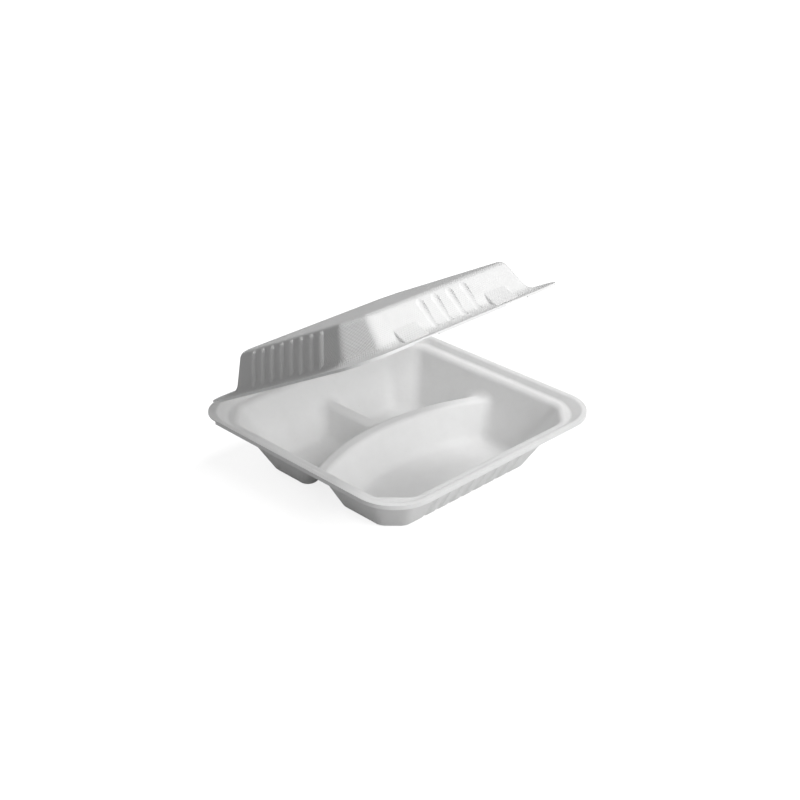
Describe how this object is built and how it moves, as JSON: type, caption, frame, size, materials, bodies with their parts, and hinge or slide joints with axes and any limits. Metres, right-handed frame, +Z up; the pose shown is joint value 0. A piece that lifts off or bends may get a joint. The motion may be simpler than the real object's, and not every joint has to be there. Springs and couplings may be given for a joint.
{
  "type": "takeaway box",
  "caption": "Square clamshell food box of white moulded plant fibre: compartment tray with sloped walls and a stepped rim, and a ribbed lid hinged along a crease.",
  "frame": {"origin": "on the table, under the middle of the tray", "axes": "+Z up, +X along the crease, +Y towards the crease, front at -Y"},
  "size_m": [0.23, 0.2243, 0.1625],
  "materials": {
    "base_tray": "matte white moulded fibre, smooth inside",
    "lid": "matte white moulded fibre, fine screen pattern outside"
  },
  "bodies": {
    "base": {"base_tray": "base_tray"},
    "lid": {"lid": "lid"}
  },
  "joints": [
    {"name": "lid_hinge", "type": "hinge", "parent": "base", "child": "lid", "pos_m": [0, 0.112, 0.0492], "axis": [-1, 0, 0], "range_deg": [-28.2, 151.8]}
  ]
}
